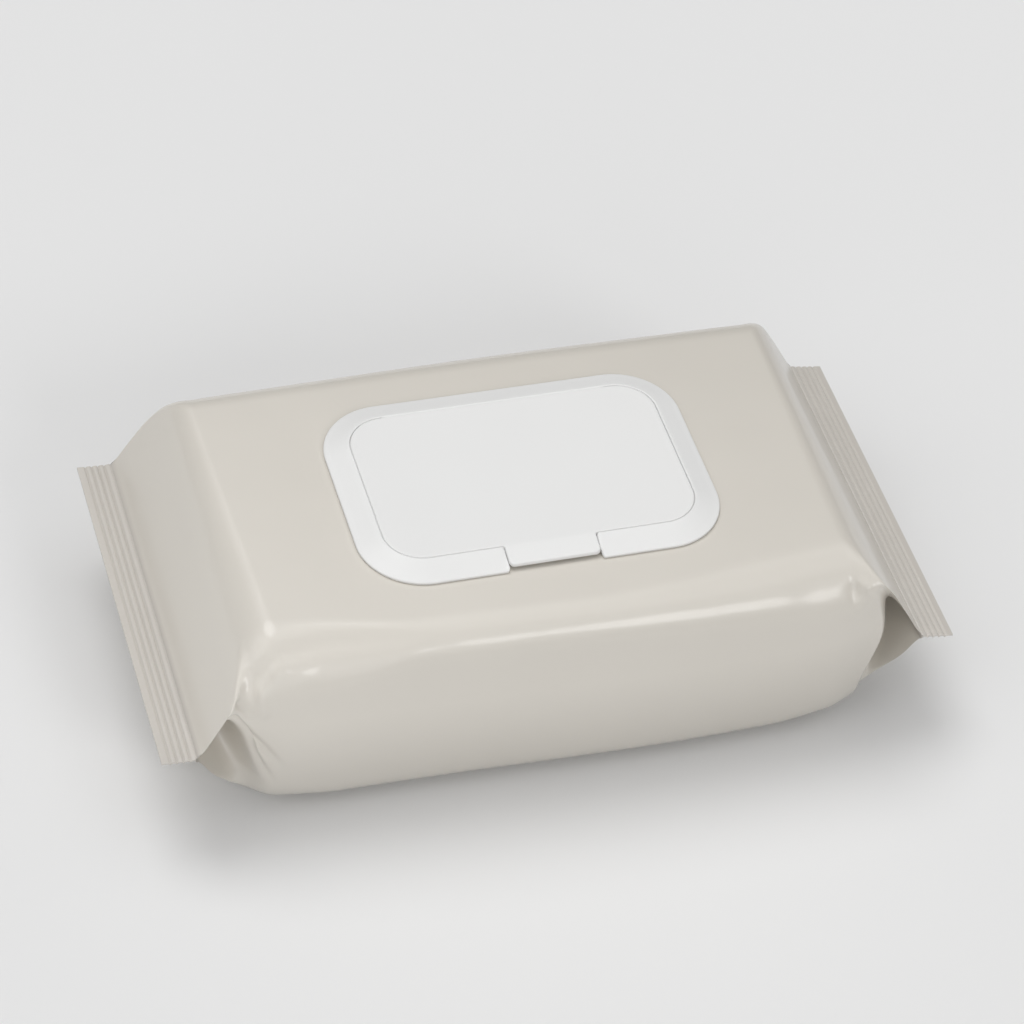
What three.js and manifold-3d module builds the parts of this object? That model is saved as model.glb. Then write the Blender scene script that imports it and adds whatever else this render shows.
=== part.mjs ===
// Wet wipes pack: a film flow pack with tucked ends and crimped end seals, and a white moulded flip lid
// glued over a resealable label. Millimetres, +Z up, +X along the pack, the lid's hinge towards +Y.
// The origin is on the underside, in the middle of the pack.
import * as THREE from "three";
import { mergeVertices } from "three/addons/utils/BufferGeometryUtils.js";
import Module from "manifold-3d";

const wasm = await Module();
wasm.setup();

// The filled pack.
const PACK_LENGTH = 219; // over both end seals
const SEAL_LENGTH = 10; // each crimped strip, along X
const SEAL_WIDTH = 110; // each crimped strip, across Y
const SEAL_THICKNESS = 0.8;
const SEAL_HEIGHT = 31; // of the strip's middle above the ground
const SEAL_RIBS = 5;
const RIB_DEPTH = 0.35;
const BODY_DEPTH = 105; // between the front and back faces, across Y
const BODY_HEIGHT = 60;
const TOP_HALF_LENGTH = 80; // where the top starts to round over into the end slope
const SHOULDER_RUN = 8; // how far along X the top rounds over
const TOP_EDGE_RADIUS = 9;
const BOTTOM_EDGE_RADIUS = 11;
const GUSSET_DEPTH = 29; // how far the side film is tucked in at the end seal
const LAP_SEAL_WIDTH = 15; // the long seal folded flat on the underside
const LAP_GROOVE = 0.5; // depth of the line along its free edge
const SEAL_EDGE_RADIUS = 0.1; // what is left of the edge radii where the film is pinched flat
const BODY_STATIONS = [0, 30, 60]; // sections of the level body, along X
const SHOULDER_STEPS = 4;
const SLOPE_SHARES = [0.35, 0.65, 0.9]; // sections of the straight slope, as shares of its length
const EDGE_STEPS = 5; // facets round each long edge

// The moulded lid. Its heights are measured from the top of the film.
const LID_LENGTH = 100;
const LID_DEPTH = 67.2;
const LID_CORNER = 17.4;
const LIP_HEIGHT = 1.0; // of the frame's thin outer edge
const LIP_ROUND = 0.4;
const RING_HEIGHT = 3.2; // of the frame's inner edge and of the flap's top
const WALL = 1.0;
const GLUE_GAP = 0.15; // hot melt under the frame and the label
const LEDGE_WIDTH = 5.5; // the frame's floor around its window
const RING_WIDTH = 6.85; // of the frame's sloped rim
const FLAP_GAP = 0.35; // the groove all round the flap
const SKIRT_INSET = 2; // from the flap's edge to the rib under it
const SKIRT_WIDTH = 1.2;
const SKIRT_CLEARANCE = 0.3; // between that rib and the ledge
const TAB_WIDTH = 24.6;
const TAB_REACH = 6; // how far the thumb tab comes forward of the flap
const TAB_DROP = 1.2; // how much lower its front edge is
const NOTCH_GAP = 0.6; // between the tab and the notch in the frame
const HOLLOW_RISE = 0.1; // of the hollow under the rim, at its outer edge
const OUTLINE_STEPS = 8; // facets round each corner of the lid and the label

// The resealable label.
const LABEL_LENGTH = 64;
const LABEL_DEPTH = 32;
const LABEL_CORNER = 12;
const LABEL_THICKNESS = 0.3;
const LABEL_TAB_WIDTH = 14;
const LABEL_TAB_REACH = 3;

const FILM_COLOUR = 0xd6d1c8;
const LID_COLOUR = 0xececea;
const LABEL_COLOUR = 0xe2e0dc;

const MERGE_DISTANCE = 1e-4; // corners closer than this are one corner
const CUT_MARGIN = 1; // how far a cutting box reaches past what it cuts

const halfLength = PACK_LENGTH / 2;
const sealStart = halfLength - SEAL_LENGTH;

// A three.js geometry as a solid that can be cut and joined.
function solidFrom(geometry) {
  const bare = geometry.clone();
  bare.deleteAttribute("normal");
  bare.deleteAttribute("uv");
  const merged = mergeVertices(bare, MERGE_DISTANCE);
  return new wasm.Manifold(
    new wasm.Mesh({
      numProp: 3,
      vertProperties: merged.attributes.position.array,
      triVerts: new Uint32Array(merged.index.array),
    }),
  );
}

// A solid as a three.js geometry.
function geometryFrom(solid) {
  const mesh = solid.getMesh();
  const geometry = new THREE.BufferGeometry();
  geometry.setAttribute("position", new THREE.BufferAttribute(mesh.vertProperties, 3));
  geometry.setIndex(new THREE.BufferAttribute(mesh.triVerts, 1));
  geometry.computeVertexNormals();
  return geometry;
}

// A box between two corners, as a solid.
function boxSolid(low, high) {
  const size = high.map((value, k) => value - low[k]);
  const middle = high.map((value, k) => (value + low[k]) / 2);
  return solidFrom(new THREE.BoxGeometry(...size).translate(...middle));
}

// The quads between neighbouring rings of equally many points; a ring runs anticlockwise as seen from
// the side that the rings advance to.
function ringWalls(ringCount, count, closed) {
  const triangles = [];
  const steps = closed ? ringCount : ringCount - 1;
  for (let i = 0; i < steps; i++) {
    const here = i * count;
    const next = ((i + 1) % ringCount) * count;
    for (let j = 0; j < count; j++) {
      const k = (j + 1) % count;
      triangles.push(here + j, here + k, next + j, here + k, next + k, next + j);
    }
  }
  return triangles;
}

// ---- The film pack ----

// The pack's section at a station x: the heights of its top and bottom, its half depth, how far the
// middle of each side is tucked in, and the radii of its top and bottom edges.
function sectionAt(x) {
  const t = Math.max((Math.abs(x) - TOP_HALF_LENGTH) / (sealStart - TOP_HALF_LENGTH), 0);
  const run = SHOULDER_RUN / (sealStart - TOP_HALF_LENGTH);
  // A straight slope whose start is rounded over the shoulder's run.
  const fall = t < run ? (t * t) / (2 * run) : t - run / 2;
  const share = Math.min(fall / (1 - run / 2), 1);
  const open = 1 - share;
  return {
    top: SEAL_HEIGHT + SEAL_THICKNESS / 2 + (BODY_HEIGHT - SEAL_HEIGHT - SEAL_THICKNESS / 2) * open,
    bottom: (SEAL_HEIGHT - SEAL_THICKNESS / 2) * share,
    half: (BODY_DEPTH + (SEAL_WIDTH - BODY_DEPTH) * Math.min(t, 1)) / 2,
    tuck: share < 1 ? GUSSET_DEPTH * share : 0,
    topRadius: TOP_EDGE_RADIUS * open + SEAL_EDGE_RADIUS * share,
    bottomRadius: BOTTOM_EDGE_RADIUS * open + SEAL_EDGE_RADIUS * share,
  };
}

// A quarter circle from one direction on, as [y, z] points.
function quarter(cy, cz, radius, from) {
  return Array.from({ length: EDGE_STEPS + 1 }, (_, i) => {
    const angle = from + (Math.PI / 2) * (i / EDGE_STEPS);
    return [cy + radius * Math.cos(angle), cz + radius * Math.sin(angle)];
  });
}

// The closed ring of the section at station x: from the middle of the underside round the +Y side to the
// middle of the top, and back down the -Y side.
function ringAt(x, lift) {
  const s = sectionAt(x);
  const lower = quarter(s.half - s.bottomRadius, s.bottom + s.bottomRadius, s.bottomRadius, -Math.PI / 2);
  const upper = quarter(s.half - s.topRadius, s.top - s.topRadius, s.topRadius, 0);
  const lowEnd = lower.at(-1);
  const highEnd = upper[0];
  const valley = [s.half - s.tuck, (lowEnd[1] + highEnd[1]) / 2];
  const between = (p, q) => [(p[0] + q[0]) / 2, (p[1] + q[1]) / 2];
  const side = [between(lowEnd, valley), valley, between(valley, highEnd)];
  const right = [[0, s.bottom], ...lower, ...side, ...upper, [0, s.top]];
  const left = right.slice(1, -1).reverse().map(([y, z]) => [-y, z]);
  return [...right, ...left].map(([y, z]) => [x, y, z + lift]);
}

// The stations along one half of the pack: the straight body, the shoulder, the end slope and the
// crimped strip, whose ribs rise and fall from one station to the next.
function halfStations() {
  const stations = BODY_STATIONS.map((x) => ({ x, lift: 0 }));
  for (let i = 0; i <= SHOULDER_STEPS; i++) {
    stations.push({ x: TOP_HALF_LENGTH + (SHOULDER_RUN * i) / SHOULDER_STEPS, lift: 0 });
  }
  const slopeStart = TOP_HALF_LENGTH + SHOULDER_RUN;
  for (const share of SLOPE_SHARES) {
    stations.push({ x: slopeStart + (sealStart - slopeStart) * share, lift: 0 });
  }
  const steps = 2 * SEAL_RIBS;
  for (let i = 0; i <= steps; i++) {
    stations.push({ x: sealStart + (SEAL_LENGTH * i) / steps, lift: i % 2 ? RIB_DEPTH : 0 });
  }
  return stations;
}

// The flat end of a tube of rings, as a ladder of rungs from the underside up to the top on each side of
// the middle. Its first corner is ring point 0, at the middle of the underside.
function endCap(first, count) {
  const top = count / 2;
  const triangles = [];
  const rung = (a, b, c, d) => {
    triangles.push(first + a, first + b, first + d);
    if (b !== c) triangles.push(first + b, first + c, first + d);
  };
  for (let j = 0; j < top / 2; j++) {
    rung(j, j + 1, top - j - 1, top - j);
    rung(top + j, top + j + 1, count - j - 1, (count - j) % count);
  }
  return triangles;
}

function filmPack() {
  const half = halfStations();
  const mirrored = half.slice(1).reverse().map(({ x, lift }) => ({ x: -x, lift }));
  const rings = [...mirrored, ...half].map(({ x, lift }) => ringAt(x, lift));
  const count = rings[0].length;
  const triangles = [
    ...endCap(0, count).reverse(),
    ...ringWalls(rings.length, count, false),
    ...endCap((rings.length - 1) * count, count),
  ];
  const geometry = new THREE.BufferGeometry();
  geometry.setAttribute("position", new THREE.Float32BufferAttribute(rings.flat(2), 3));
  geometry.setIndex(triangles);
  const side = LAP_GROOVE * Math.SQRT2;
  const groove = new THREE.BoxGeometry(PACK_LENGTH, side, side).rotateX(Math.PI / 4);
  groove.translate(0, LAP_SEAL_WIDTH / 2, 0);
  return geometryFrom(solidFrom(geometry).subtract(solidFrom(groove)));
}

// ---- The moulded lid ----

// A rounded rectangle as a closed ring of [x, y] points, anticlockwise from above.
function roundedRing(length, depth, corner) {
  const centres = [[1, 1], [-1, 1], [-1, -1], [1, -1]];
  return centres.flatMap(([sx, sy], quarterTurn) =>
    Array.from({ length: OUTLINE_STEPS + 1 }, (_, i) => {
      const angle = (Math.PI / 2) * (quarterTurn + i / OUTLINE_STEPS);
      const x = sx * (length / 2 - corner) + corner * Math.cos(angle);
      const y = sy * (depth / 2 - corner) + corner * Math.sin(angle);
      return [x, y];
    }),
  );
}

// A closed frame: a profile of [inset, height] points, anticlockwise with the inset to the right,
// carried round a rounded rectangle.
function frameSolid(length, depth, corner, profile) {
  const rings = profile.toReversed().map(([inset, height]) =>
    roundedRing(length - 2 * inset, depth - 2 * inset, corner - inset).map(([x, y]) => [x, y, height]),
  );
  const count = rings[0].length;
  const geometry = new THREE.BufferGeometry();
  geometry.setAttribute("position", new THREE.Float32BufferAttribute(rings.flat(2), 3));
  geometry.setIndex(ringWalls(rings.length, count, true));
  return solidFrom(geometry);
}

// A flat plate with a rounded-rectangle outline between two heights.
function plateSolid(length, depth, corner, low, high) {
  const outline = roundedRing(length, depth, corner).map(([x, y]) => new THREE.Vector2(x, y));
  const settings = { depth: high - low, bevelEnabled: false };
  return solidFrom(new THREE.ExtrudeGeometry(new THREE.Shape(outline), settings).translate(0, 0, low));
}

// A profile of [y, z] points carried along X for a given length, centred on x = 0.
function barSolid(profile, length) {
  const shape = new THREE.Shape(profile.map(([y, z]) => new THREE.Vector2(y, z)));
  const bar = new THREE.ExtrudeGeometry(shape, { depth: length, bevelEnabled: false });
  // Turned so that the shape's axes lie along Y and Z and its depth along X.
  const turn = new THREE.Matrix4().makeBasis(
    new THREE.Vector3(0, 1, 0),
    new THREE.Vector3(0, 0, 1),
    new THREE.Vector3(1, 0, 0),
  );
  return solidFrom(bar.applyMatrix4(turn).translate(-length / 2, 0, 0));
}

const flapInset = RING_WIDTH + FLAP_GAP;
const flapLength = LID_LENGTH - 2 * flapInset;
const flapDepth = LID_DEPTH - 2 * flapInset;
const flapCorner = LID_CORNER - flapInset;
const notchHalf = TAB_WIDTH / 2 + NOTCH_GAP;

function lidFrame() {
  const floor = BODY_HEIGHT + GLUE_GAP;
  const lip = BODY_HEIGHT + LIP_HEIGHT;
  const ledgeTop = floor + WALL;
  const top = BODY_HEIGHT + RING_HEIGHT;
  const window = RING_WIDTH + LEDGE_WIDTH;
  const slope = (top - lip) / (RING_WIDTH - LIP_ROUND);
  const outside = [
    [0, floor],
    [window, floor],
    [window, ledgeTop],
    [RING_WIDTH, ledgeTop],
    [RING_WIDTH, top],
    [LIP_ROUND, lip],
    [0, lip - LIP_ROUND],
  ];
  // The hollow under the sloped rim, a wall's thickness inside its outer face.
  const hollowEnd = RING_WIDTH - WALL;
  const hollow = [
    [WALL, floor - WALL],
    [hollowEnd, floor - WALL],
    [hollowEnd, lip + slope * (hollowEnd - LIP_ROUND) - WALL],
    [WALL, floor + HOLLOW_RISE],
  ];
  const front = -LID_DEPTH / 2;
  const notch = boxSolid(
    [-notchHalf, front - CUT_MARGIN, floor - CUT_MARGIN],
    [notchHalf, front + RING_WIDTH, top + CUT_MARGIN],
  );
  // The rim stays solid beside the notch for a wall's thickness.
  const notchWalls = boxSolid(
    [-notchHalf - WALL, front - CUT_MARGIN, floor - 2 * CUT_MARGIN],
    [notchHalf + WALL, front + RING_WIDTH + CUT_MARGIN, top + CUT_MARGIN],
  );
  const cored = frameSolid(LID_LENGTH, LID_DEPTH, LID_CORNER, hollow).subtract(notchWalls);
  const rim = frameSolid(LID_LENGTH, LID_DEPTH, LID_CORNER, outside);
  return geometryFrom(rim.subtract(cored).subtract(notch));
}

function lidFlap() {
  const top = BODY_HEIGHT + RING_HEIGHT;
  const under = top - WALL;
  const skirtEnd = BODY_HEIGHT + GLUE_GAP + WALL + SKIRT_CLEARANCE;
  const plate = plateSolid(flapLength, flapDepth, flapCorner, under, top);
  const skirt = frameSolid(flapLength, flapDepth, flapCorner, [
    [SKIRT_INSET, skirtEnd],
    [SKIRT_INSET + SKIRT_WIDTH, skirtEnd],
    [SKIRT_INSET + SKIRT_WIDTH, under + WALL / 2],
    [SKIRT_INSET, under + WALL / 2],
  ]);
  const front = -flapDepth / 2;
  const tab = barSolid(
    [
      [front + WALL, under],
      [front + WALL, top],
      [front, top],
      [front - TAB_REACH, top - TAB_DROP],
      [front - TAB_REACH, under - TAB_DROP],
      [front, under],
    ].reverse(),
    TAB_WIDTH,
  );
  return geometryFrom(plate.add(skirt).add(tab));
}

// ---- The label ----

function sealLabel() {
  const low = BODY_HEIGHT + GLUE_GAP;
  const high = low + LABEL_THICKNESS;
  const body = plateSolid(LABEL_LENGTH, LABEL_DEPTH, LABEL_CORNER, low, high);
  const tabDepth = 2 * LABEL_TAB_REACH + LABEL_CORNER;
  const tab = plateSolid(LABEL_TAB_WIDTH, tabDepth, LABEL_TAB_WIDTH / 2, low, high);
  const front = -LABEL_DEPTH / 2 + tabDepth / 2 - LABEL_TAB_REACH;
  return geometryFrom(body.add(tab.translate(0, front, 0)));
}

// ---- The scene graph ----

function piece(name, geometry, color, roughness) {
  const material = new THREE.MeshStandardMaterial({ color, roughness, metalness: 0 });
  const mesh = new THREE.Mesh(geometry, material);
  mesh.name = name;
  return mesh;
}

const pack = new THREE.Group();
pack.add(piece("film_pack", filmPack(), FILM_COLOUR, 0.35));
pack.add(piece("seal_label", sealLabel(), LABEL_COLOUR, 0.4));

const lid = new THREE.Group();
lid.add(piece("lid_frame", lidFrame(), LID_COLOUR, 0.45));
lid.add(piece("lid_flap", lidFlap(), LID_COLOUR, 0.45));
pack.add(lid);

export default pack;
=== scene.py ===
# %% [markdown]
# # A soft pack of wet wipes
# The pack is one bag of laminated film, pinched flat at both ends, with a white moulded flip lid glued on
# top. The CAD model says where everything is and how large it is. This file gives each piece its real
# surface: the film as one bent sheet, the lid as mouldings with small radii, and their finishes.

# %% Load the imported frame
import math

import bpy
import numpy as np
from mathutils import Matrix, Vector


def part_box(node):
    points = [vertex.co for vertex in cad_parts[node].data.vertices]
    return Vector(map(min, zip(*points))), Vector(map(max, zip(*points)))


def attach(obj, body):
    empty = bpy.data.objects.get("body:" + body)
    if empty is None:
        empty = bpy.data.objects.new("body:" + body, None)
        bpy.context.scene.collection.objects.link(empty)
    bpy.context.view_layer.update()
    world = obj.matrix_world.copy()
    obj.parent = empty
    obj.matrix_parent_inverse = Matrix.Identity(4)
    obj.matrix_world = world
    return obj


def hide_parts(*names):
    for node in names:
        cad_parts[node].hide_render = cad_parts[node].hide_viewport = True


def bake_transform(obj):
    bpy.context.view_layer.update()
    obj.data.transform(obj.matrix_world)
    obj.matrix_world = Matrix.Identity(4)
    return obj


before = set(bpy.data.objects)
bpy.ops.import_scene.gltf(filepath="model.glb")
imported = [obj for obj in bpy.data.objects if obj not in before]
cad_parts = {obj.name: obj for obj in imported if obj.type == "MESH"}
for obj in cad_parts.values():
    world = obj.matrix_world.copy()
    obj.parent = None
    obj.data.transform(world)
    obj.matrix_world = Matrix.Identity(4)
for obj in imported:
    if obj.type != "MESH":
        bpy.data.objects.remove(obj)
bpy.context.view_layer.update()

# %% [markdown]
# All shapes below are worked out in millimetres, because that is how a pack is measured, and turned to
# metres when they become a mesh. The driving sizes are read from the CAD pieces.

# %% Sizes from the frame
MM = 0.001


def size_of(node):
    """Lowest and highest corner of a CAD node in millimetres."""
    low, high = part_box(node)
    return np.array(low) / MM, np.array(high) / MM


_, pack_high = size_of("film_pack")
_, rim_high = size_of("lid_frame")
flap_low, flap_high = size_of("lid_flap")
label_low, label_high = size_of("seal_label")
HALF_LENGTH = pack_high[0]
HALF_SEAL = pack_high[1]
PACK_TOP = pack_high[2]
LID_TOP = rim_high[2]
print("pack", HALF_LENGTH * 2, "x", HALF_SEAL * 2, "x", PACK_TOP, "mm, lid top", LID_TOP)

# %% [markdown]
# ## The camera
# A long lens looks down on the pack from the front and a little from the left. A long lens keeps parallel
# edges nearly parallel. The camera is turned about its own axis by a few degrees, so that the pack seems
# to lie at a slant.

# %% Camera
AZIMUTH, ELEVATION, ROLL = (math.radians(a) for a in (-20.9, 45.06, 6.70))
LENS, FULL_FRAME = 126.3, 36.0
DISTANCE = 952.4
AIM = np.array([-6.0, -12.0, PACK_TOP])

back = np.array([
    math.sin(AZIMUTH) * math.cos(ELEVATION),
    -math.cos(AZIMUTH) * math.cos(ELEVATION),
    math.sin(ELEVATION),
])
level = np.array([math.cos(AZIMUTH), math.sin(AZIMUTH), 0.0])
upright = np.cross(back, level)
right = math.cos(ROLL) * level + math.sin(ROLL) * upright
up = math.cos(ROLL) * upright - math.sin(ROLL) * level

camera_data = bpy.data.cameras.new("camera")
camera_data.lens = LENS
camera_data.sensor_width = FULL_FRAME
camera = bpy.data.objects.new("camera", camera_data)
bpy.context.scene.collection.objects.link(camera)
bpy.context.scene.camera = camera
eye = (AIM + back * DISTANCE) * MM
camera.matrix_world = Matrix(np.column_stack([np.c_[right, up, back, eye].T, [0, 0, 0, 1]]).T.tolist())
print("camera at", eye)

# %% [markdown]
# ## The film wrapper
# The real pack starts as a flat web of printed laminate. It is wrapped round the stack of wipes, joined
# along the underside, and pinched flat at both ends, while two paddles push the side film inwards. So
# every cross section is one closed loop, and only its measures change along the pack: a full rounded
# oblong in the middle, a shallow letter V turned inwards near the ends, and a flat strip at the seals.
# The sheet could be simulated as cloth, but a packed film holds its folds, so it is worked out as a
# surface of two parameters: the place along the pack, and the place round the section.

# %% Helpers for curves
def soft_ramp(value, corner, reach):
    """Zero before the corner and value - corner after it, joined by a parabola over +- reach."""
    part = np.clip((value - corner + reach) / (2 * reach), 0, 1)
    return reach * part**2 + np.maximum(value - corner - reach, 0)


def ease(value, start, end):
    """Goes from 0 at start to 1 at end with level ends: 3 t^2 - 2 t^3."""
    t = np.clip((value - start) / (end - start), 0, 1)
    return t * t * (3 - 2 * t)


def mix(a, b, share):
    """The straight mixture a + (b - a) * share."""
    return a + (b - a) * share


QUARTER_CIRCLE = 0.552


def round_corner(start, corner, end, t):
    """A cubic curve from start to end whose two handles lie 0.552 of the way to the corner, which is the
    share that makes a quarter circle when the corner is square."""
    first = mix(start, corner, QUARTER_CIRCLE)
    last = mix(end, corner, QUARTER_CIRCLE)
    return (1 - t)**3 * start + 3 * (1 - t)**2 * t * first + 3 * (1 - t) * t**2 * last + t**3 * end


# %% Measures of the film along the pack
SEAL_START = HALF_LENGTH - 9.9
SEAL_MIDDLE = 31.0
SEAL_HALF = 0.32
RIB_PITCH = 1.75
RIB_DEPTH = 0.6
RIB_FADE, PLAIN_EDGE = 0.7, 1.2
SHOULDER = 83.8
SEAL_BEND = 1.8
FLOOR_LIFT = 0.45
END_SLOPE = (PACK_TOP - SEAL_MIDDLE - SEAL_HALF) / (SEAL_START - SHOULDER)
UNDER_SLOPE = (SEAL_MIDDLE - SEAL_HALF - FLOOR_LIFT) / (SEAL_START - SHOULDER)
TUCK = 28.0
RIGHT_SEAL_UP, RIGHT_DROOP, LEFT_LIFT = 1.2, -0.17, 0.05
BACK_SHOULDER, FRONT_SHOULDER, UNDER_SHOULDER = 4.0, 7.0, 6.5


def crimp(along):
    """The grooves that the sealing jaws press across the seal, one every 1.75 mm: narrow valleys of
    (1 - |sin|)^2 that fade out towards the free edge and towards the slope."""
    past = along - SEAL_START
    last_rib = HALF_LENGTH - PLAIN_EDGE
    inside = ease(past, 0.0, RIB_FADE) * (1 - ease(along, last_rib - RIB_FADE, last_rib))
    return -RIB_DEPTH * (1 - np.abs(np.sin(np.pi * (past - 0.6) / RIB_PITCH)))**2 * inside


def seal_tilt(x):
    """How far a seal leaves its level: past the seal's start, a slope times the way gone, and at the right
    end a rise that eases in over the end slope."""
    along = np.abs(x)
    past = soft_ramp(along, SEAL_START - 1.0, 1.0)
    raised_end = np.where(x > 0, RIGHT_SEAL_UP, 0) * ease(along, 84, SEAL_START)
    return past * np.where(x > 0, RIGHT_DROOP, LEFT_LIFT) + raised_end


def top_height(x, across):
    """Height of the upper film: level, then down the end slope, then along the seal. The shoulder is a
    parabola, which is wider towards the front."""
    along = np.abs(x)
    reach = mix(BACK_SHOULDER, FRONT_SHOULDER, ease(-across, -50, 50))
    fall = soft_ramp(along, SHOULDER, reach) - soft_ramp(along, SEAL_START, SEAL_BEND)
    return PACK_TOP - END_SLOPE * fall + crimp(along) + seal_tilt(x)


def under_height(x):
    """Height of the lower film: the upper film's curve turned over, with a wider bend at the bottom."""
    along = np.abs(x)
    rise = soft_ramp(along, SHOULDER, UNDER_SHOULDER) - soft_ramp(along, SEAL_START, SEAL_BEND)
    return FLOOR_LIFT + UNDER_SLOPE * rise + crimp(along) + seal_tilt(x)


print("end slope", round(math.degrees(math.atan(END_SLOPE)), 1), "degrees")

# %% [markdown]
# The side film is level with the body's face until it meets a fold line, and runs inwards from there to
# the seal. On one end the fold line bulges outwards like a cheek, and on the other it runs down aslant.
# `share` is the place on the side film, from 0 at its lower edge to 1 at its upper edge.

# %% One half of the section
TOP_ROWS, CORNER_ROWS, SIDE_ROWS, UNDER_ROWS = 27, 13, 40, 15
UNDER_DRAWN_IN = 1.5
FRONT_HALF, FRONT_BOW = 52.0, 2.6
BACK_HALF, BACK_BOW = 51.3, 1.2
BOW_LENGTH = 60
SHARP_EDGE = 0.25
UPPER_ROUND, SLACK_ROUND = 9.0, 6
LOWER_ROUND, LOWER_SLACK = 10, 3.5
SIDE_BULGE = 3.0
MOST_ROUND = 0.45
CHEEK_START, CHEEK_OUT, CHEEK_LEAN = 81.5, 7.5, 1.3
SLANT_START, SLANT_RUN, SLANT_BEND = 75.0, 17.0, 0.75
TUCK_GROWTH = 2.2, 1.7  # right end, left end
TUCK_HOLLOW = 1.4, 1.35  # right end, left end


def fold_line(share, right_end):
    """Where the side film turns inwards: a sine hump on the right end, a rising power curve on the left."""
    cheek = CHEEK_START + CHEEK_OUT * np.sin(np.pi * share**CHEEK_LEAN)
    slant = SLANT_START + SLANT_RUN * share**SLANT_BEND
    return np.where(right_end, cheek, slant)


def tuck_depth(along, share, right_end):
    """How far the side film lies inwards: a hollow of 1 - |2 share - 1|^n across the height, whose depth
    grows from the fold line to the seal as 1 - (1 - p)^n, and closes inside the seal."""
    start = fold_line(share, right_end)
    reach = SEAL_START - start
    p = np.clip(soft_ramp(along, start + 1.0, 2.0) / (reach - 1.0), 0, 1)
    grown = 1 - (1 - p)**np.where(right_end, *TUCK_GROWTH)
    hollow = 1 - np.abs(2 * share - 1)**np.where(right_end, *TUCK_HOLLOW)
    closed = 1 - ease(along, SEAL_START + 0.2, SEAL_START + 0.9)
    return TUCK * hollow * grown * closed


def half_section(x, side):
    """Rows from the middle of the top to the middle of the underside, on one side of the pack: level top,
    rounded upper edge, side film, rounded lower edge, level underside. The half width is a constant plus a
    bow exp(-(x / length)^2), and both rounded edges sharpen to a crease where the side film is tucked in."""
    along = np.abs(x)
    right_end = x > 0
    if side < 0:
        body = FRONT_HALF + FRONT_BOW * np.exp(-((x - 35) / BOW_LENGTH)**2)
    else:
        body = BACK_HALF + BACK_BOW * np.exp(-(x / BOW_LENGTH)**2)
    wide = mix(body, HALF_SEAL - 0.05 - 1.4 * (right_end & (side < 0)), ease(along, 80, SEAL_START))
    wide_under = wide - UNDER_DRAWN_IN * ease(along, 76, 88) * (1 - ease(along, 91, SEAL_START))
    if side < 0:
        loose = SLACK_ROUND * np.where(
            right_end, ease(along, 0, 80) * (1 - ease(along, 77, 83)), ease(along, 40, 78),
        )
        pinched = np.where(right_end, ease(along, 80.5, 87), ease(along, 84.5, 92.5))
    else:
        loose = 0 * along
        pinched = ease(along, 79, 92)
    top_edge = mix(UPPER_ROUND + loose, SHARP_EDGE, pinched)
    under_edge = mix(LOWER_ROUND + LOWER_SLACK * ease(along, 60, 80), SHARP_EDGE, ease(along, 80, 97))

    t = np.linspace(0, 1, TOP_ROWS)[None, :]
    y_top = (wide - top_edge) * (1 - (1 - t)**1.35)
    z_top = top_height(x, side * y_top)

    top_z = top_height(x, side * wide)
    under_z = under_height(x)
    tall = top_z - under_z
    low_share = np.minimum(under_edge / tall, MOST_ROUND)
    high_share = 1 - np.minimum(top_edge / tall, MOST_ROUND)
    u = np.linspace(1, 0, SIDE_ROWS)[None, :]
    share = mix(low_share, high_share, u)
    bulge = SIDE_BULGE * np.sin(np.pi * share) * (1 - ease(along, 70, 92))
    y_side = mix(wide_under, wide, share) + bulge - tuck_depth(along, share, right_end)
    z_side = mix(under_z, top_z, share)

    c = np.linspace(0, 1, CORNER_ROWS + 2)[None, 1:-1]
    y_high = round_corner(y_top[:, -1:], wide, y_side[:, :1], c)
    z_high = round_corner(z_top[:, -1:], top_z, z_side[:, :1], c)
    y_under = (wide_under - under_edge) * np.linspace(1, 0, UNDER_ROWS)[None, :]
    z_under = under_z + 0 * y_under
    y_low = round_corner(y_side[:, -1:], wide_under, y_under[:, :1], c)
    z_low = round_corner(z_side[:, -1:], under_z, z_under[:, :1], c)
    y = np.concatenate([y_top, y_high, y_side, y_low, y_under], axis=1)
    z = np.concatenate([z_top, z_high, z_side, z_low, z_under], axis=1)
    return side * y, z


# %% The whole surface
def stations():
    """Places along the pack: wide steps on the body, fine ones on the folds and the seals."""
    half = np.concatenate([
        np.linspace(0, 76, 48, endpoint=False),
        np.linspace(76, SEAL_START - 2, 90, endpoint=False),
        np.linspace(SEAL_START - 2, HALF_LENGTH - 0.25, 66),
        HALF_LENGTH - 0.25 + 0.25 * np.sin(np.radians([30, 60, 90])),
    ])
    return np.concatenate([-half[:0:-1], half])


x = stations()[:, None]
front_y, front_z = half_section(x, -1)
back_y, back_z = half_section(x, 1)
film_y = np.concatenate([front_y, back_y[:, -2:0:-1]], axis=1)
film_z = np.concatenate([front_z, back_z[:, -2:0:-1]], axis=1)
film = np.stack([x + 0 * film_y, film_y, film_z], axis=-1)
print("film grid", film.shape, "triangles", 2 * film.shape[0] * film.shape[1])

# %% [markdown]
# Real film never lies quite smooth where it turns a corner. It spans hollows between the corners of the
# stack, and small dents and puckers are left where it was pushed in. Each one is a low ridge or groove
# along a short path: every point near the path moves along the surface's own direction, by an amount
# that falls off with its distance from the path.

# %% Dents and ridges
def outward(grid):
    """Unit normals of a grid that is closed round its rows: the cross product of its two directions."""
    round_it = np.roll(grid, -1, axis=1) - np.roll(grid, 1, axis=1)
    along_it = np.gradient(grid, axis=0)
    normal = np.cross(round_it, along_it)
    return normal / np.maximum(np.linalg.norm(normal, axis=-1, keepdims=True), 1e-9)


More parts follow.
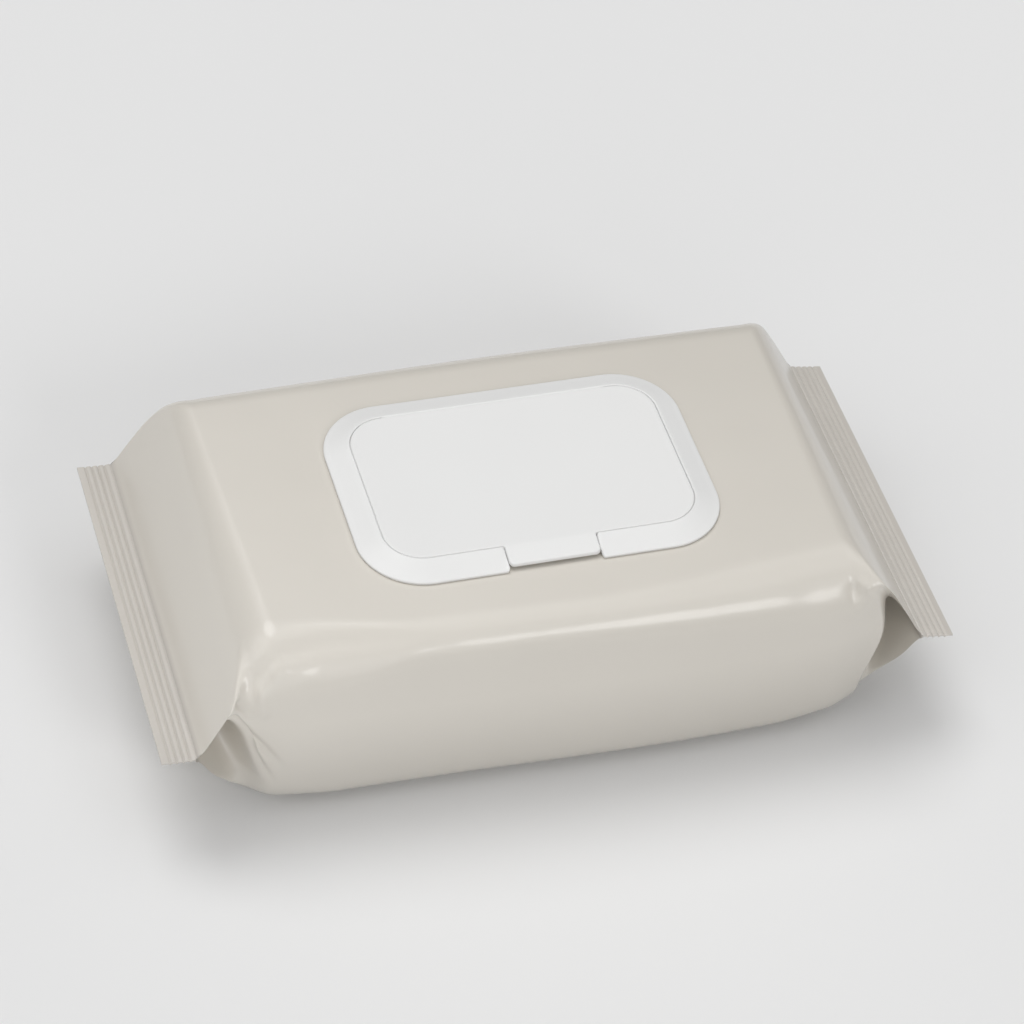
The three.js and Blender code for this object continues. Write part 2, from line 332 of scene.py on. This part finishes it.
def raised(grid, path, width, rise):
    """How far each point moves outwards: rise * exp(-(distance to the path / width)^2), which grows from
    almost nothing over the first half of the path. The path is a few points joined by straight runs."""
    runs = np.diff(path, axis=0)
    lengths = np.linalg.norm(runs, axis=1)
    before = np.cumsum(lengths) - lengths
    nearest = np.full(grid.shape[:2], np.inf)
    walked = np.zeros(grid.shape[:2])
    for start, run, length, done in zip(path[:-1], runs, lengths, before):
        t = np.clip(((grid - start) @ run) / length**2, 0, 1)
        gap = np.linalg.norm(grid - (start + t[..., None] * run), axis=-1)
        walked = np.where(gap < nearest, done + t * length, walked)
        nearest = np.minimum(nearest, gap)
    return rise * np.exp(-(nearest / width)**2) * ease(walked / lengths.sum(), -0.1, 0.5)


def from_corner(end, places):
    """Points measured from the corner where the body's top, front and end planes would meet: how far
    towards the middle of the pack, how far in from the front, and how far down, in millimetres."""
    toward, inward, down = np.array(places, float).T
    return np.stack([end * (SHOULDER - toward), inward - HALF_SEAL, PACK_TOP - down], axis=1)


# Each mark is a path, the width of its fall-off, and how far it rises (or sinks, below zero). The first
# of the creases and the first of the cheek dents are wide and shallow: they flatten the rounded edge, so
# that its line of light swells into a soft patch.
LEFT, RIGHT = -1, 1
HOLLOW_ROUND_CORNER = (from_corner(LEFT, [
    (48, 5, 2), (32, 7, 1.5), (18, 9, 1.5), (8, 8.5, 3), (2, 7, 6), (-2, 5, 9.5), (-3.5, 2.5, 12.5),
]), 2.5, -0.9)
CORNER_CREASES = [
    (from_corner(LEFT, [(11, 4.5, 7), (24, 4, 6)]), 7.0, -0.5),
    (from_corner(LEFT, [(3, 6, 7), (7, 6.5, 5)]), 1.6, 0.6),
    (from_corner(LEFT, [(2, 2, 20), (0.5, 3, 11.5)]), 1.9, 0.8),
]
PEAK_DENT = (from_corner(LEFT, [(-2, 1.5, 19), (-4.5, 2, 13.5)]), 1.6, -1.5)
PUCKERS = [
    (from_corner(LEFT, [(5, 2, 46), (-1, 3, 32), (-7, 1.5, 18)]), 1.4, -1.7),
    (from_corner(LEFT, [(7, 1, 39), (-0.5, 2.5, 28), (-7, 1.5, 18)]), 1.3, -1.4),
    (from_corner(LEFT, [(5, 2, 43), (1, 2.5, 35), (-5, 2, 22)]), 1.1, 0.6),
]
CHEEK_DENTS = [
    (from_corner(RIGHT, [(26, 4, 5.5), (11, 4, 5.5)]), 5.0, -0.32),
    (from_corner(RIGHT, [(6.5, 3.5, 4), (6, 1.5, 7)]), 1.4, -1.5),
    (from_corner(RIGHT, [(5.5, 3.5, 4), (2.5, 2.5, 6)]), 1.2, 1.1),
]
ALL_MARKS = [HOLLOW_ROUND_CORNER, *CORNER_CREASES, PEAK_DENT, *PUCKERS, *CHEEK_DENTS]
normals = outward(film)
moved = sum((raised(film, path, width, rise) for path, width, rise in ALL_MARKS), 0 * film[..., 0])
film = film + moved[..., None] * normals
print("marks:", len(ALL_MARKS), "deepest", moved.min().round(2), "highest", moved.max().round(2), "mm")

# %% [markdown]
# A grid becomes a mesh by naming the four corners of each cell. `closed` joins the last row to the first,
# and `closed_tube` puts one face over each open end.

# %% Mesh from a grid
def grid_faces(columns, rows, closed):
    """Corner numbers of each cell of a grid whose points are numbered row by row within a column."""
    number = np.arange(columns * rows).reshape(columns, rows)
    after = np.roll(number, -1, axis=1) if closed else number[:, 1:]
    before = number if closed else number[:, :-1]
    return np.stack([before[:-1], after[:-1], after[1:], before[1:]], axis=-1).reshape(-1, 4)


def make_piece(name, points, faces):
    """A mesh object from points in millimetres and lists of corner numbers, shaded smooth."""
    mesh = bpy.data.meshes.new(name)
    mesh.from_pydata((np.asarray(points) * MM).tolist(), [], [list(face) for face in faces])
    mesh.validate()
    mesh.polygons.foreach_set("use_smooth", np.ones(len(mesh.polygons), dtype=bool))
    mesh.update()
    piece = bpy.data.objects.new(name, mesh)
    bpy.context.scene.collection.objects.link(piece)
    print(name, len(mesh.vertices), "points", len(mesh.polygons), "faces")
    return piece


def closed_tube(grid):
    """Points and faces of a grid that is closed round its rows, with one face over each open end."""
    columns, rows = grid.shape[:2]
    faces = grid_faces(columns, rows, True).tolist()
    faces.append(list(range(rows - 1, -1, -1)))
    faces.append(list(range((columns - 1) * rows, columns * rows)))
    return grid.reshape(-1, 3), faces


wrapper = make_piece("film_wrapper", *closed_tube(film))
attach(wrapper, "pack")
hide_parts("film_pack")

# %% [markdown]
# ## The lid moulding
# The lid is injection moulded polypropylene: a sloped rim that is glued to the film, and a flap. Moulded
# edges are never sharp, because the steel of the mould is cut with a round tool. So every outline is
# walked as straight runs joined by arcs, and every profile gets small radii. A piece is then its profile
# carried round its outline, moved in from the outline by each profile point's inset.

# %% Outlines walked as runs and arcs
FEWEST_STEPS = 10


def walk(start, moves):
    """Points and outward normals of a closed outline that is walked anticlockwise from its start heading
    +X. A move is (length, 0) for a straight run or (radius, turn in degrees) for an arc; the place is the
    running sum of step * (cos heading, sin heading)."""
    steps, turns = [], []
    for size, turn in moves:
        count = FEWEST_STEPS + int(abs(turn) * size / 60)
        share = np.full(count, 1 / count)
        angle = math.radians(turn)
        chord = 2 * size * math.sin(abs(angle) / count / 2) if turn else size / count
        steps.append(np.full(count, chord))
        turns.append(angle * share)
    step, turn = np.concatenate(steps), np.concatenate(turns)
    after = np.cumsum(turn)
    heading = after - turn / 2
    moved = np.cumsum(np.stack([step * np.cos(heading), step * np.sin(heading)], axis=1), axis=0)
    points = np.array(start) + np.concatenate([[[0, 0]], moved])
    at = np.concatenate([[0], after])
    normals = np.stack([np.sin(at), -np.cos(at)], axis=1)
    return points, normals


def oblong(half_x, half_y, corner, notch=0):
    """A rounded oblong walked from the middle of its front, or from one side of a notch to the other."""
    flat_x, flat_y = half_x - corner, 2 * (half_y - corner)
    moves = [(flat_x - notch, 0), (corner, 90), (flat_y, 0), (corner, 90), (2 * flat_x, 0),
             (corner, 90), (flat_y, 0), (corner, 90), (flat_x - notch, 0)]
    return walk((notch, -half_y), moves)


def tabbed_oblong(half_x, half_y, corner, tab_half, reach, tab_round, fillet):
    """A rounded oblong with a tab in the middle of its front, filleted where it leaves the oblong."""
    flat_x, flat_y = half_x - corner, 2 * (half_y - corner)
    run = flat_x - tab_half - fillet
    side = reach - tab_round - fillet
    moves = [(tab_half - tab_round, 0), (tab_round, 90), (side, 0), (fillet, -90), (run, 0), (corner, 90),
             (flat_y, 0), (corner, 90), (2 * flat_x, 0), (corner, 90), (flat_y, 0), (corner, 90),
             (run, 0), (fillet, -90), (side, 0), (tab_round, 90), (tab_half - tab_round, 0)]
    return walk((0, -half_y - reach), moves)


def carried(outline, profile):
    """Grid of a closed profile of [inset, height] points carried along an outline: point - inset * normal."""
    points, normals = outline
    inset, height = np.asarray(profile, float).T
    flat = points[:, None, :] - inset[None, :, None] * normals[:, None, :]
    tall = np.broadcast_to(height[None, :, None], flat.shape[:2] + (1,))
    return np.concatenate([flat, tall], axis=2)


def arc(centre, radius, start, end, count=6):
    """Points on a circle from one angle to another, in degrees."""
    angle = np.radians(np.linspace(start, end, count))
    return np.stack([centre[0] + radius * np.cos(angle), centre[1] + radius * np.sin(angle)], axis=1)


# %% [markdown]
# The rim's profile, from the outside in: a thin lip with a rounded edge, a slope up to the flap's level,
# a rounded inner edge, and a wall down to the film. The rim ends in two walls beside the thumb notch,
# and those walls get a rounded edge by shrinking the last few profiles along a quarter circle.

# %% Rim of the lid
GLUE = 0.15
RIM_WIDTH = 6.95
LIP, LIP_ROUND = 1.0, 0.42
INNER_ROUND = 0.28
LEDGE_THICK = 1.0
HALF_X, HALF_Y, CORNER = rim_high[0], rim_high[1], 17.4
NOTCH_HALF = 12.7
floor_z = PACK_TOP + GLUE
ledge_z = floor_z + LEDGE_THICK

rim_profile = np.concatenate([
    [[RIM_WIDTH, floor_z], [0.1, floor_z]],
    arc((LIP_ROUND, PACK_TOP + LIP - LIP_ROUND), LIP_ROUND, 180, 108),
    np.linspace([1.2, PACK_TOP + LIP + 0.20], [RIM_WIDTH - 0.8, LID_TOP - 0.14], 6),
    arc((RIM_WIDTH - INNER_ROUND, LID_TOP - INNER_ROUND), INNER_ROUND, 100, 0),
])


def rounded_ends(grid, radius=0.8, count=8):
    """Adds columns at both open ends that shrink towards the profile's middle: inwards by
    radius * (1 - cos turn) and outwards by radius * sin turn, for turns up to 75 degrees."""
    turn = np.radians(np.linspace(0, 75, count))[:, None, None]
    ends = []
    for first, second in ((grid[0], grid[1]), (grid[-1], grid[-2])):
        middle = first.mean(axis=0)
        leaving = (first - second).mean(axis=0)
        leaving = leaving / np.linalg.norm(leaving)
        reach = np.abs(first - middle).max(axis=0) + 1e-6
        toward = np.clip((middle - first) / radius, -1, 1) * np.minimum(radius, reach)
        ends.append(first + (1 - np.cos(turn)) * toward + (np.sin(turn) - 1) * radius * leaving)
    inner = grid[1:-1]
    return np.concatenate([ends[0][::-1], inner, ends[1]])


rim_grid = rounded_ends(carried(oblong(HALF_X, HALF_Y, CORNER, NOTCH_HALF), rim_profile))
rim_points, rim_faces = closed_tube(rim_grid)
print("rim profile", len(rim_profile), "points, carried to", rim_grid.shape[0], "places")


# %% Ledge inside the rim
def ring_of(outline, profile):
    """Points and faces of a closed profile carried round a closed outline."""
    grid = carried(outline, profile)[:-1]
    places, rows = grid.shape[:2]
    faces = grid_faces(places + 1, rows, True) % (places * rows)
    return grid.reshape(-1, 3), faces.tolist()


def joined(*parts):
    """Several lists of points and faces as one."""
    points, faces, count = [], [], 0
    for these_points, these_faces in parts:
        points.append(these_points)
        faces += [[number + count for number in face] for face in these_faces]
        count += len(these_points)
    return np.concatenate(points), faces


ledge_profile = [[12.35, floor_z], [6.6, floor_z], [6.6, ledge_z], [12.1, ledge_z], [12.35, ledge_z - 0.2]]
ledge = ring_of(oblong(HALF_X, HALF_Y, CORNER), ledge_profile)
rim = make_piece("lid_rim", *joined((rim_points, rim_faces), ledge))
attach(rim, "pack")
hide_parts("lid_frame")

# %% [markdown]
# The flap is a thin plate with a thumb tab that dips a little towards its front edge. The plate is a
# stack of rings that shrink to a point in the middle of the top and of the underside. A rib under it
# stiffens it, and comes down to just above the ledge to keep the wipes moist.

# %% Flap of the lid
def plate_between(outline, edge, top_z, under_z, shares, dip):
    """A closed plate: rings from the middle of the top to the edge, down the edge profile, and back to the
    middle of the underside. `dip` lowers a point by an amount that depends on its place."""
    points, normals = outline[0][:-1], outline[1][:-1]
    inset, height = np.asarray(edge, float).T
    rings = points[None] - inset[:, None, None] * normals[None]
    shares = np.asarray(shares)[:, None, None]
    top = shares * rings[0][None]
    under = (shares * rings[-1][None])[::-1]
    flat = np.concatenate([top, rings, under])
    tall = np.concatenate([np.full(len(top), top_z), height, np.full(len(under), under_z)])
    tall = tall[:, None] - dip(flat[..., 0], flat[..., 1])
    grid = np.concatenate([flat, tall[..., None]], axis=2)
    rows, count = grid.shape[:2]
    faces = np.flip(grid_faces(rows, count, True), axis=1) + 1
    poles = [[0, 0, top_z], [0, 0, under_z]]
    following = np.roll(np.arange(count), -1)
    first = [[0, 1 + a, 1 + b] for a, b in zip(range(count), following)]
    last_row = 1 + (rows - 1) * count
    last = [[last_row + count, last_row + b, last_row + a] for a, b in zip(range(count), following)]
    return np.concatenate([[poles[0]], grid.reshape(-1, 3), [poles[1]]]), first + faces.tolist() + last


GAP_CLOSED = 0.07  # the flap is this much larger all round than the CAD flap: the gap is a fine line
FLAP_X, FLAP_Y = flap_high[:2] + GAP_CLOSED
FLAP_CORNER = 10.27
TAB_HALF, TAB_REACH, TAB_DIP = 12.45, -flap_low[1] - flap_high[1], 1.2
FLAP_THICK = 1.0
FLAP_UNDER = LID_TOP - FLAP_THICK
SKIRT_OUT, SKIRT_TOP = 0.13, LID_TOP - 0.42  # the flap widens under its rounded edge: a shallow gap
flap_edge = np.concatenate([
    arc((INNER_ROUND, LID_TOP - INNER_ROUND), INNER_ROUND, 90, 180),
    [[-SKIRT_OUT, SKIRT_TOP], [-SKIRT_OUT, FLAP_UNDER + 0.15], [0.15, FLAP_UNDER]],
])
flap_outline = tabbed_oblong(FLAP_X, FLAP_Y, FLAP_CORNER, TAB_HALF, TAB_REACH, 1.4, 0.7)


def tab_dip(x, y):
    """The tab dips from the flap's edge forward: most * (share of the tab's reach)^1.2."""
    return TAB_DIP * np.clip((-y - FLAP_Y) / TAB_REACH, 0, 1)**1.2


FLAP_RINGS = [0.15, 0.3, 0.45, 0.6, 0.72, 0.79, 0.81, 0.83, 0.85, 0.87, 0.89, 0.91, 0.93, 0.95, 0.97, 0.985]
flap_plate = plate_between(flap_outline, flap_edge, LID_TOP, FLAP_UNDER, FLAP_RINGS, tab_dip)
RIB_GAP = 0.3
rib_under = ledge_z + RIB_GAP
rib_profile = [[3.2, LID_TOP - 0.6], [3.2, rib_under + 0.1], [3.0, rib_under], [2.2, rib_under],
               [2.0, rib_under + 0.1], [2.0, LID_TOP - 0.6]]
flap_rib = ring_of(oblong(FLAP_X, FLAP_Y, FLAP_CORNER), rib_profile)
flap = make_piece("lid_flap_moulding", *joined(flap_plate, flap_rib))
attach(flap, "flap")
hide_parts("lid_flap")

# %% [markdown]
# The living hinge is the thin web that joins the flap to the rim along the straight part of the back
# edge. It is the same moulding, less than 0.4 mm thick, so that it bends for thousands of openings.

# %% Living hinge
HINGE_HALF = 32.0
WEB_FRONT, WEB_BACK = FLAP_Y - 0.35, FLAP_Y + 0.55
WEB_UNDER, WEB_TOP = LID_TOP - 0.42, LID_TOP - 0.06
WEB_ROWS = 7
hinge_profile = np.concatenate([
    np.stack([np.linspace(WEB_BACK, WEB_FRONT, WEB_ROWS), np.full(WEB_ROWS, WEB_UNDER)], axis=1),
    np.stack([np.linspace(WEB_FRONT, WEB_BACK, WEB_ROWS), np.full(WEB_ROWS, WEB_TOP)], axis=1),
])
hinge_x = np.linspace(-HINGE_HALF, HINGE_HALF, 33)
hinge_grid = np.stack([
    hinge_x[:, None] + 0 * hinge_profile[None, :, 0],
    hinge_profile[None, :, 0] + 0 * hinge_x[:, None],
    hinge_profile[None, :, 1] + 0 * hinge_x[:, None],
], axis=-1)[:, ::-1]
hinge = make_piece("living_hinge", *closed_tube(hinge_grid))
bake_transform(hinge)

# %% [markdown]
# Under the flap, a label of film closes the opening that is cut in the wrapper. Its pull tab is lifted to
# reach the wipes, and its glue lets it be closed again.

# %% Resealable label
LABEL_X, LABEL_Y = label_high[:2]
LABEL_CORNER = 12
PULL_HALF, PULL_REACH, PULL_ROUND, PULL_FILLET = 7, -label_low[1] - LABEL_Y, 1.2, 0.8
label_outline = tabbed_oblong(
    LABEL_X, LABEL_Y, LABEL_CORNER, PULL_HALF, PULL_REACH, PULL_ROUND, PULL_FILLET,
)
label_top, label_under = label_high[2], label_low[2]
label_edge = [[0.08, label_top], [0.0, label_top - 0.08], [0.0, label_under]]
label_plate = plate_between(
    label_outline, label_edge, label_top, label_under, np.linspace(0.1, 0.96, 9), lambda x, y: 0 * x,
)
label = make_piece("reseal_label", *label_plate)
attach(label, "pack")
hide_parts("seal_label")

# %% [markdown]
# On the underside, the two edges of the web are sealed face to face and the fin that they make is folded
# flat. It is a strip 15 mm wide with the same crimp as the end seals.

# %% Lap seal on the underside
LAP_HALF = 7.5
LAP_END = SHOULDER - 6
LAP_CRIMP = 0.08
lap_x = np.linspace(-LAP_END, LAP_END, 121)
lap_y = np.linspace(-LAP_HALF, LAP_HALF, 61)
plain_border = ease(np.abs(lap_y), LAP_HALF - 2.4, LAP_HALF - 1.6)
lap_ribs = LAP_CRIMP * np.sin(2 * np.pi * lap_y / RIB_PITCH) * (1 - plain_border)
lap_rows_y = np.concatenate([lap_y, lap_y[::-1]])
lap_rows_z = np.concatenate([0.09 + lap_ribs, np.full(lap_y.size, FLOOR_LIFT + 0.1)])
lap_grid = np.stack([
    lap_x[:, None] + 0 * lap_rows_y, lap_rows_y + 0 * lap_x[:, None], lap_rows_z + 0 * lap_x[:, None],
], axis=-1)
lap_seal = make_piece("lap_seal", *closed_tube(lap_grid[:, ::-1]))
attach(lap_seal, "pack")

# %% [markdown]
# ## Materials
# Four small helpers serve every material. One turns a colour as it is written for a screen into the
# linear light that a renderer adds up. One adds a node with its settings and links. One starts an empty
# material, and one turns a size in millimetres into the scale of a pattern.

# %% Helpers for materials
def linear(code, alpha=1.0):
    """An sRGB hex colour as linear red, green, blue: c / 12.92 below 0.04045, ((c + 0.055) / 1.055)^2.4
    above it."""
    c = np.array([(code >> 16) & 255, (code >> 8) & 255, code & 255]) / 255
    light = np.where(c <= 0.04045, c / 12.92, ((c + 0.055) / 1.055)**2.4)
    return (*light.tolist(), alpha)


def add(tree, kind, links=(), **settings):
    """Adds a node. A setting whose name is an attribute of the node is set on it, any other on the input
    of that name, with underscores for spaces. A link is (from node, its output, input name)."""
    node = tree.nodes.new(kind)
    for name, value in settings.items():
        if hasattr(node, name):
            setattr(node, name, value)
        else:
            node.inputs[name.replace("_", " ")].default_value = value
    for source, output, name in links:
        tree.links.new(source.outputs[output], node.inputs[name])
    return node


def blank(name):
    """A new material with an empty node tree, and that tree."""
    material = bpy.data.materials.new(name)
    material.use_nodes = True
    material.node_tree.nodes.clear()
    return material, material.node_tree


def per_mm(size):
    """The scale of a noise whose patches are about this many millimetres wide, in metre coordinates."""
    return 1000 / size


# %% [markdown]
# The film is PET laminated to PE, printed in a warm stone grey under a clear outer layer. That gives a
# satin body colour with a thin glossy coat on top. It is never quite flat: the wet fabric under it and
# the pull of the seals leave shallow waves a centimetre or more wide, and a finer orange peel. The colour
# also carries painted light: it is lighter towards the front left and darker towards the back right,
# where the light falls that way. The end seals are a slightly greyer colour, and painted shade darkens
# the colour towards the underside.

# %% Laminated PET/PE film
film_material, tree = blank("laminated_PET_PE_film")
place = add(tree, "ShaderNodeTexCoord")
waves = add(tree, "ShaderNodeTexNoise", [(place, "Object", "Vector")],
            Scale=per_mm(22), Detail=1.0, Roughness=0.4)
peel = add(tree, "ShaderNodeTexNoise", [(place, "Object", "Vector")],
           Scale=per_mm(2.4), Detail=2.0, Roughness=0.5)
wave_bump = add(tree, "ShaderNodeBump", [(waves, "Fac", "Height")], Strength=0.35, Distance=0.0012)
peel_bump = add(tree, "ShaderNodeBump", [(peel, "Fac", "Height"), (wave_bump, "Normal", "Normal")],
                Strength=0.25, Distance=0.00008)
# Painted light and shade: the film's colour runs from lighter at the front left to darker at the back right.
PAINTED_SHADE_DIRECTION = (0.55, 0.83, 0.0)  # towards the back right
across = add(tree, "ShaderNodeVectorMath", [(place, "Object", "Vector")], operation="DOT_PRODUCT")
across.inputs[1].default_value = PAINTED_SHADE_DIRECTION
painted_light_share = add(tree, "ShaderNodeMapRange", [(across, "Value", "Value")],
              From_Min=-80 * MM, From_Max=80 * MM, To_Min=0.9, To_Max=0.0)
# The ramp mixes random waves of tone with the painted light and shade gradient.
waves_and_painted_light = add(tree, "ShaderNodeMath", [(waves, "Fac", 0), (painted_light_share, "Result", 2)], operation="MULTIPLY_ADD")
waves_and_painted_light.inputs[1].default_value = 0.15
tone = add(tree, "ShaderNodeValToRGB", [(waves_and_painted_light, "Value", "Fac")])
tone.color_ramp.elements[0].color = linear(0xD1CCC3)
tone.color_ramp.elements[1].color = linear(0xE1DCD3)
parts = add(tree, "ShaderNodeSeparateXYZ", [(place, "Object", "Vector")])
along = add(tree, "ShaderNodeMath", [(parts, "X", 0)], operation="ABSOLUTE")
# The end seals are drawn in a slightly greyer colour, 0xCFCAC3.
sealed = add(tree, "ShaderNodeMapRange", [(along, "Value", "Value")],
             From_Min=(SEAL_START - 0.6) * MM, From_Max=(SEAL_START + 0.4) * MM)
body = add(tree, "ShaderNodeMix", [(sealed, "Result", 0), (tone, "Color", 6)], data_type="RGBA")
body.inputs[7].default_value = linear(0xCFCAC3)
# Painted shade: the colour is multiplied by 0.78 at the underside, less and less up to 38 mm above it.
PAINTED_SHADE_HEIGHT = 38 * MM
painted_shade_share = add(tree, "ShaderNodeMapRange", [(parts, "Z", "Value")],
               From_Max=PAINTED_SHADE_HEIGHT, To_Min=1.0, To_Max=0.0)
shaded = add(tree, "ShaderNodeMix", [(painted_shade_share, "Result", 0), (body, 2, 6)],
             data_type="RGBA", blend_type="MULTIPLY")
shaded.inputs[7].default_value = (0.78, 0.78, 0.78, 1.0)
gloss = add(tree, "ShaderNodeMapRange", [(peel, "Fac", "Value")], To_Min=0.34, To_Max=0.42)
shader = add(
    tree, "ShaderNodeBsdfPrincipled",
    [(shaded, 2, "Base Color"), (gloss, "Result", "Roughness"), (peel_bump, "Normal", "Normal"),
     (wave_bump, "Normal", "Coat Normal")],
    IOR=1.5, Specular_IOR_Level=0.34, Coat_Weight=0.5, Coat_Roughness=0.13, Coat_IOR=1.5,
)
add(tree, "ShaderNodeOutputMaterial", [(shader, "BSDF", "Surface")])
for piece in (wrapper, lap_seal):
    piece.data.materials.append(film_material)
print("film material:", len(tree.nodes), "nodes")

# %% [markdown]
# The lid is white polypropylene. Its mould is spark eroded to a fine matt texture of about 0.1 mm, which
# breaks up reflections. It is drawn here at 0.5 mm, because a finer one is lost from a metre away.

# %% Polypropylene, moulded
lid_material, tree = blank("polypropylene_moulded")
place = add(tree, "ShaderNodeTexCoord")
spark = add(tree, "ShaderNodeTexNoise", [(place, "Object", "Vector")],
            Scale=per_mm(0.5), Detail=3.0, Roughness=0.6)
flow = add(tree, "ShaderNodeTexNoise", [(place, "Object", "Vector")],
           Scale=per_mm(30), Detail=1.0, Roughness=0.5)
spark_bump = add(tree, "ShaderNodeBump", [(spark, "Fac", "Height")], Strength=0.2, Distance=0.00003)
tone = add(tree, "ShaderNodeValToRGB", [(flow, "Fac", "Fac")])
tone.color_ramp.elements[0].position = 0.3
tone.color_ramp.elements[0].color = linear(0xEDEDEC)
tone.color_ramp.elements[1].position = 0.7
tone.color_ramp.elements[1].color = linear(0xEEEEED)
gloss = add(tree, "ShaderNodeMapRange", [(spark, "Fac", "Value")], To_Min=0.42, To_Max=0.52)
shader = add(
    tree, "ShaderNodeBsdfPrincipled",
    [(tone, "Color", "Base Color"), (gloss, "Result", "Roughness"), (spark_bump, "Normal", "Normal")],
    IOR=1.49,
)
add(tree, "ShaderNodeOutputMaterial", [(shader, "BSDF", "Surface")])
for piece in (rim, flap, hinge):
    piece.data.materials.append(lid_material)

# %% [markdown]
# The label is a white polypropylene film of 0.1 mm, smoother and glossier than the moulding. It follows
# small waves in the glue under it.

# %% Polypropylene label film
label_material, tree = blank("polypropylene_label_film")
place = add(tree, "ShaderNodeTexCoord")
glue = add(tree, "ShaderNodeTexNoise", [(place, "Object", "Vector")],
           Scale=per_mm(7), Detail=2.0, Roughness=0.5)
glue_bump = add(tree, "ShaderNodeBump", [(glue, "Fac", "Height")], Strength=0.4, Distance=0.0003)
tone = add(tree, "ShaderNodeValToRGB", [(glue, "Fac", "Fac")])
tone.color_ramp.elements[0].color = linear(0xE2E1DE)
tone.color_ramp.elements[1].color = linear(0xE6E5E2)
shader = add(
    tree, "ShaderNodeBsdfPrincipled",
    [(tone, "Color", "Base Color"), (glue_bump, "Normal", "Normal")],
    Roughness=0.28, IOR=1.49,
)
add(tree, "ShaderNodeOutputMaterial", [(shader, "BSDF", "Surface")])
label.data.materials.append(label_material)

# %% [markdown]
# ## Floor and light
# The floor is one large pale sheet. The light is that of a white tent with soft boxes round it, drawn as
# distant lights that each fill a wide angle of the sky. The strongest stands high behind the pack, so that
# the shadow falls forwards and the front face is darker than the top. Weaker ones on all sides fill the
# shadow. A small one in front is mirrored by the film as a line of light along the rounded front edge.
# The floor is board painted matt, so it takes a soft shadow and mirrors nothing.

# %% Floor
FLOOR_HALF = 6  # metres
corners = [(FLOOR_HALF * a, FLOOR_HALF * b, 0) for a, b in ((-1, -1), (1, -1), (1, 1), (-1, 1))]
floor_mesh = bpy.data.meshes.new("floor")
floor_mesh.from_pydata(corners, [], [(0, 1, 2, 3)])
floor = bpy.data.objects.new("floor", floor_mesh)
bpy.context.scene.collection.objects.link(floor)
floor_material, tree = blank("painted_paper_board")
place = add(tree, "ShaderNodeTexCoord")
grain = add(tree, "ShaderNodeTexNoise", [(place, "Object", "Vector")], Scale=per_mm(300), Detail=1.0)
tone = add(tree, "ShaderNodeValToRGB", [(grain, "Fac", "Fac")])
tone.color_ramp.elements[0].color = linear(0xEAEAEA)
tone.color_ramp.elements[1].color = linear(0xEBEBEB)
shader = add(tree, "ShaderNodeBsdfPrincipled", [(tone, "Color", "Base Color")],
             Roughness=0.9, Specular_IOR_Level=0.1)
add(tree, "ShaderNodeOutputMaterial", [(shader, "BSDF", "Surface")])
floor.data.materials.append(floor_material)

# %% Light
world = bpy.data.worlds.new("white_tent")
world.use_nodes = True
bpy.context.scene.world = world
sky = world.node_tree.nodes["Background"]
sky.inputs["Color"].default_value = (1.0, 1.0, 1.0, 1.0)
sky.inputs["Strength"].default_value = 0.12
bpy.context.scene.view_settings.view_transform = "Standard"


def distant_light(name, direction, strength, width):
    """A soft source far away: `direction` points to it, `width` is the angle that it fills in degrees."""
    data = bpy.data.lights.new(name, "SUN")
    data.energy = strength
    data.angle = math.radians(width)
    light = bpy.data.objects.new(name, data)
    light.rotation_euler = Vector(direction).to_track_quat("Z", "Y").to_euler()
    bpy.context.scene.collection.objects.link(light)
    return light


# Each light: compass angle (0 is along +X, 90 along +Y), height above the floor and width, in degrees, and
# the share of a white floor's brightness that it would give if it stood overhead.
LIGHTS = {
    "overhead": (112, 66, 34, 0.31),
    "overhead_right": (0, 62, 50, 0.12),
    "side_left": (185, 42, 50, 0.17),
    "front_key": (-100, 50, 90, 0.15),
    "back": (90, 62, 60, 0.09),
    "front_low": (-105, 18, 40, 0.10),
    "front_window": (-68, 30, 19, 0.16),
}
for name, (compass, height, width, share) in LIGHTS.items():
    a, e = math.radians(compass), math.radians(height)
    toward = (math.cos(a) * math.cos(e), math.sin(a) * math.cos(e), math.sin(e))
    distant_light(name, toward, share * math.pi, width)
